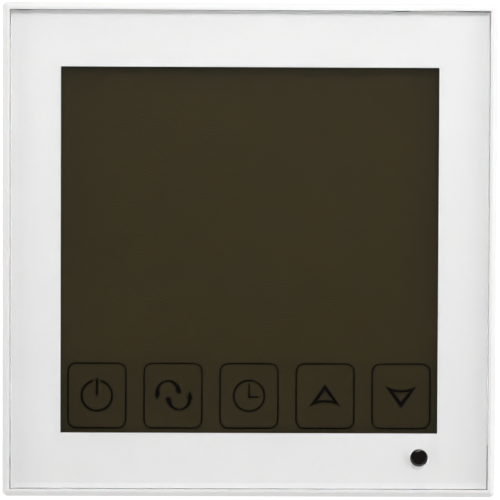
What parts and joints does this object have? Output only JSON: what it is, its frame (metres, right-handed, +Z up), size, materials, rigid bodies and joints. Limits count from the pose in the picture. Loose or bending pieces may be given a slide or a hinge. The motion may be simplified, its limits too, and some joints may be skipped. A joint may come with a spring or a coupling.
{
  "type": "wall thermostat",
  "caption": "Square glass-fronted touch thermostat with a display window and a row of touch keys, plugged onto a wall power unit with screw terminals.",
  "frame": {"origin": "centre of the mounting plate's back face, which lies on the wall", "axes": "+Y into the wall, +Z up, +X to the right as the user sees the front"},
  "size_m": [0.086, 0.041, 0.086],
  "materials": {
    "white_plastic": "glossy white ABS",
    "white_plastic_matte": "satin white polycarbonate",
    "panel_glass": "clear polished glass",
    "white_print": "white screen print on the back of the glass",
    "black_print": "black screen print",
    "foam_tape": "closed-cell foam tape",
    "clear_film": "clear polyester film with printed conductors",
    "dark_lens": "polished infrared-passing plastic",
    "display_glass": "display glass",
    "polariser": "grey-green polariser film",
    "tinned_steel": "tinned",
    "holder_plastic": "white moulded plastic",
    "white_film": "white diffusing film",
    "light_guide_acrylic": "clear acrylic",
    "led_body": "side-view white lamp",
    "green_board": "glass-fibre board with solder mask",
    "zinc_steel": "zinc plated",
    "spring_steel": "rolled stainless spring strip",
    "chip_epoxy": "moulded epoxy",
    "component_ceramic": "ceramic and plastic chip parts",
    "black_plastic": "moulded black plastic",
    "cell_steel": "nickel plated",
    "gold_pin": "gold flashed",
    "terminal_plastic": "green polyamide",
    "tinned_brass": "tin plated",
    "relay_plastic": "blue moulded case",
    "coil_copper": "enamelled copper winding",
    "soft_iron": "nickel plated soft iron",
    "contact_brass": "silver-faced contacts on brass strip",
    "ferrite": "ferrite core with a taped winding",
    "capacitor_resin": "yellow moulded box",
    "capacitor_sleeve": "shrink sleeve over an aluminium can",
    "varistor_resin": "dipped resin"
  },
  "bodies": {
    "wall_unit": {"board_socket": "black_plastic", "box_screws": "zinc_steel", "bulk_capacitors": "capacitor_sleeve", "contact_bars": "tinned_brass", "insulating_cover": "black_plastic", "mounting_plate": "zinc_steel", "power_board": "green_board", "power_chips": "chip_epoxy", "rear_box": "white_plastic_matte", "relay_base": "black_plastic", "relay_case": "relay_plastic", "relay_coil": "coil_copper", "relay_contacts": "contact_brass", "relay_yoke": "soft_iron", "retaining_springs": "spring_steel", "safety_capacitor": "capacitor_resin", "surge_parts": "varistor_resin", "terminal_housing": "terminal_plastic", "transformer": "ferrite"},
    "controller": {"front_bezel": "white_plastic", "glass_panel": "panel_glass", "panel_mask_print": "white_print", "key_legend_print": "black_print", "panel_tape": "foam_tape", "touch_sensor_film": "clear_film", "receiver_lens": "dark_lens", "lcd_cell": "display_glass", "lcd_polarisers": "polariser", "lcd_pins": "tinned_steel", "lcd_holder": "holder_plastic", "backlight_films": "white_film", "light_guide": "light_guide_acrylic", "backlight_leds": "led_body", "main_board": "green_board", "board_screws": "zinc_steel", "control_chips": "chip_epoxy", "small_components": "component_ceramic", "buzzer": "black_plastic", "coin_cell": "cell_steel", "ir_receiver": "chip_epoxy", "temperature_sensor": "black_plastic", "board_header": "black_plastic", "header_pins": "gold_pin", "back_cover": "white_plastic_matte", "cover_screws": "zinc_steel"},
    "terminal_screw_1": {"clamp_screw_1": "zinc_steel"},
    "terminal_cage_1": {"clamp_cage_1": "tinned_brass"},
    "terminal_screw_2": {"clamp_screw_2": "zinc_steel"},
    "terminal_cage_2": {"clamp_cage_2": "tinned_brass"},
    "terminal_screw_3": {"clamp_screw_3": "zinc_steel"},
    "terminal_cage_3": {"clamp_cage_3": "tinned_brass"},
    "terminal_screw_4": {"clamp_screw_4": "zinc_steel"},
    "terminal_cage_4": {"clamp_cage_4": "tinned_brass"},
    "terminal_screw_5": {"clamp_screw_5": "zinc_steel"},
    "terminal_cage_5": {"clamp_cage_5": "tinned_brass"},
    "terminal_screw_6": {"clamp_screw_6": "zinc_steel"},
    "terminal_cage_6": {"clamp_cage_6": "tinned_brass"},
    "relay_armature": {"relay_armature": "soft_iron"}
  },
  "joints": [
    {"name": "front_release", "type": "slide", "parent": "wall_unit", "child": "controller", "axis": [0, -1, 0], "range_m": [0, 0.025], "deforming": ["retaining_springs"]},
    {"name": "terminal_screw_1", "type": "hinge", "parent": "wall_unit", "child": "terminal_screw_1", "pos_m": [-0.01905, 0.0209, -0.0192], "axis": [0, -1, 0], "range_deg": [0, 2664.01]},
    {"name": "terminal_cage_1", "type": "slide", "parent": "wall_unit", "child": "terminal_cage_1", "axis": [0, 1, 0], "range_m": [0, 0.0037]},
    {"name": "terminal_screw_2", "type": "hinge", "parent": "wall_unit", "child": "terminal_screw_2", "pos_m": [-0.01143, 0.0209, -0.0192], "axis": [0, -1, 0], "range_deg": [0, 2664.01]},
    {"name": "terminal_cage_2", "type": "slide", "parent": "wall_unit", "child": "terminal_cage_2", "axis": [0, 1, 0], "range_m": [0, 0.0037]},
    {"name": "terminal_screw_3", "type": "hinge", "parent": "wall_unit", "child": "terminal_screw_3", "pos_m": [-0.00381, 0.0209, -0.0192], "axis": [0, -1, 0], "range_deg": [0, 2664.01]},
    {"name": "terminal_cage_3", "type": "slide", "parent": "wall_unit", "child": "terminal_cage_3", "axis": [0, 1, 0], "range_m": [0, 0.0037]},
    {"name": "terminal_screw_4", "type": "hinge", "parent": "wall_unit", "child": "terminal_screw_4", "pos_m": [0.00381, 0.0209, -0.0192], "axis": [0, -1, 0], "range_deg": [0, 2664.01]},
    {"name": "terminal_cage_4", "type": "slide", "parent": "wall_unit", "child": "terminal_cage_4", "axis": [0, 1, 0], "range_m": [0, 0.0037]},
    {"name": "terminal_screw_5", "type": "hinge", "parent": "wall_unit", "child": "terminal_screw_5", "pos_m": [0.01143, 0.0209, -0.0192], "axis": [0, -1, 0], "range_deg": [0, 2664.01]},
    {"name": "terminal_cage_5", "type": "slide", "parent": "wall_unit", "child": "terminal_cage_5", "axis": [0, 1, 0], "range_m": [0, 0.0037]},
    {"name": "terminal_screw_6", "type": "hinge", "parent": "wall_unit", "child": "terminal_screw_6", "pos_m": [0.01905, 0.0209, -0.0192], "axis": [0, -1, 0], "range_deg": [0, 2664.01]},
    {"name": "terminal_cage_6", "type": "slide", "parent": "wall_unit", "child": "terminal_cage_6", "axis": [0, 1, 0], "range_m": [0, 0.0037]},
    {"name": "relay_armature", "type": "hinge", "parent": "wall_unit", "child": "relay_armature", "pos_m": [-0.0051, 0.0193, 0.0157], "axis": [0, 0, 1], "range_deg": [0, 3], "stiffness_Nm_per_rad": 0.01, "springref_deg": -2.86}
  ],
  "couplings": [
    {"joint": "terminal_screw_1", "follows": "terminal_cage_1", "rad_per_m": 12566},
    {"joint": "terminal_screw_2", "follows": "terminal_cage_2", "rad_per_m": 12566},
    {"joint": "terminal_screw_3", "follows": "terminal_cage_3", "rad_per_m": 12566},
    {"joint": "terminal_screw_4", "follows": "terminal_cage_4", "rad_per_m": 12566},
    {"joint": "terminal_screw_5", "follows": "terminal_cage_5", "rad_per_m": 12566},
    {"joint": "terminal_screw_6", "follows": "terminal_cage_6", "rad_per_m": 12566}
  ]
}
